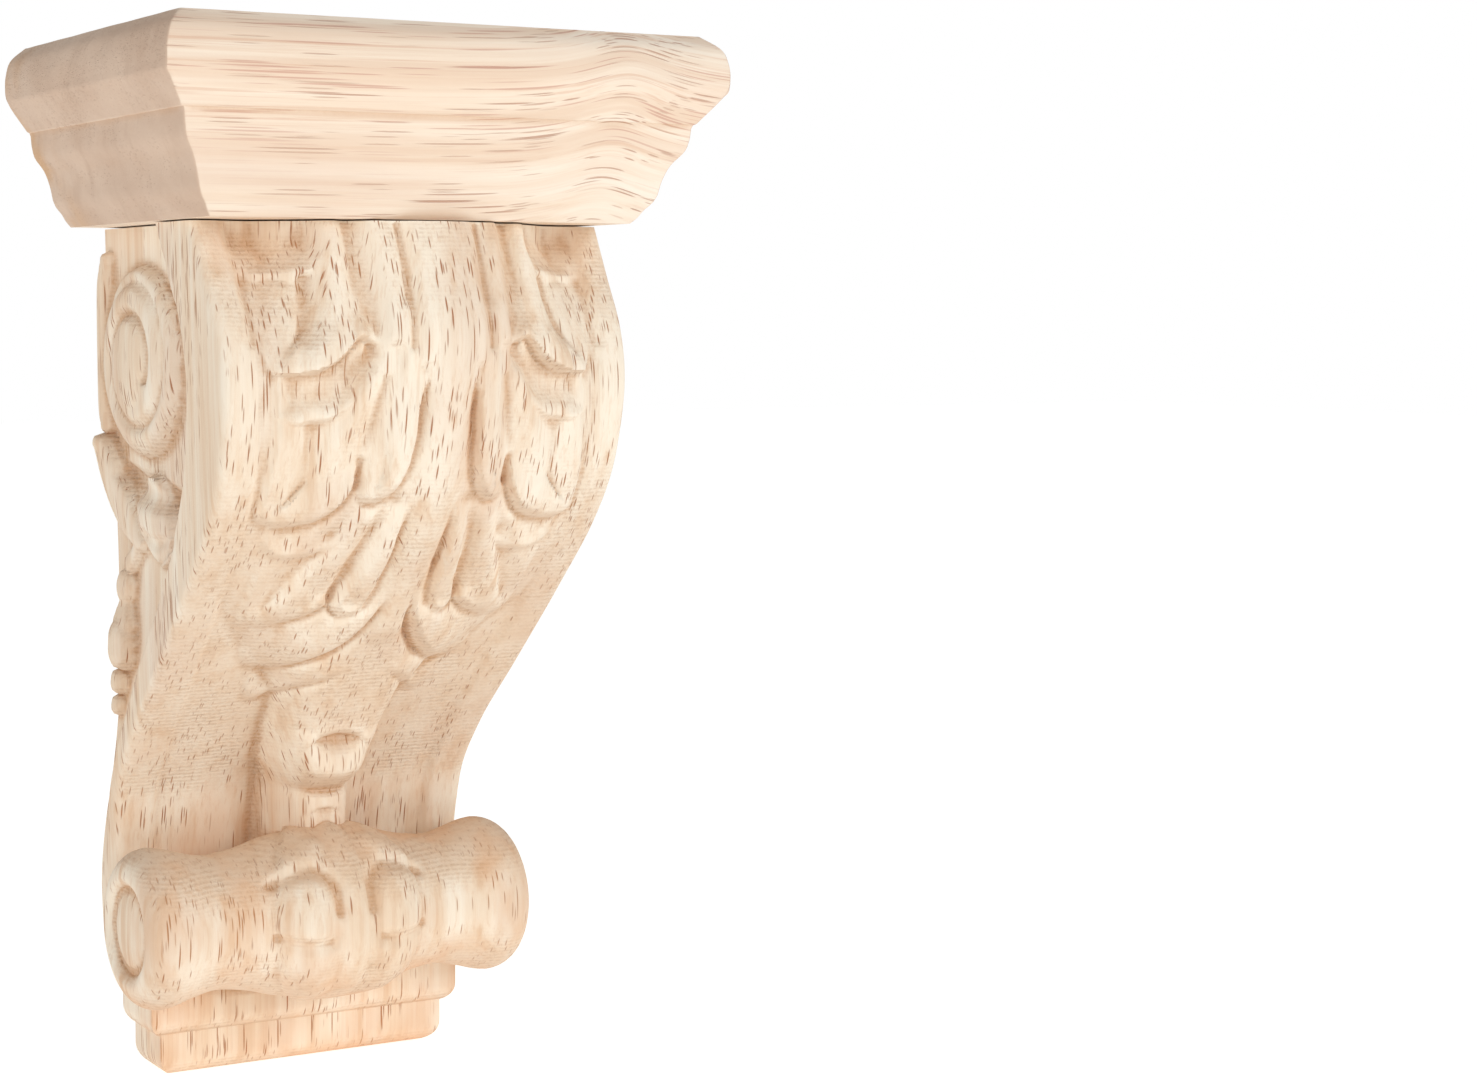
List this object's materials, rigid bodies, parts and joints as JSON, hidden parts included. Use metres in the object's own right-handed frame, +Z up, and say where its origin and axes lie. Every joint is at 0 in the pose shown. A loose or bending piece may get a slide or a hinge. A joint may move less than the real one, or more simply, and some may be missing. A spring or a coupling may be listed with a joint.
{
  "type": "carved wooden corbel",
  "caption": "Carved wooden wall corbel: an S-scroll bracket with acanthus leaf, side volutes, a cross roll and a stepped foot, under a moulded cap.",
  "frame": {"origin": "middle of the flat back, half way up, where the corbel meets the wall", "axes": "+Z up along the height, +Y into the wall, -Y out of the wall towards the viewer, +X to the viewer's right"},
  "size_m": [0.1108, 0.0803, 0.1999],
  "materials": {
    "cap_wood": "raw, sanded, open-pored",
    "carved_wood": "raw, machine carved, unsanded"
  },
  "bodies": {
    "root": {"cap": "cap_wood", "body": "carved_wood"}
  },
  "joints": []
}
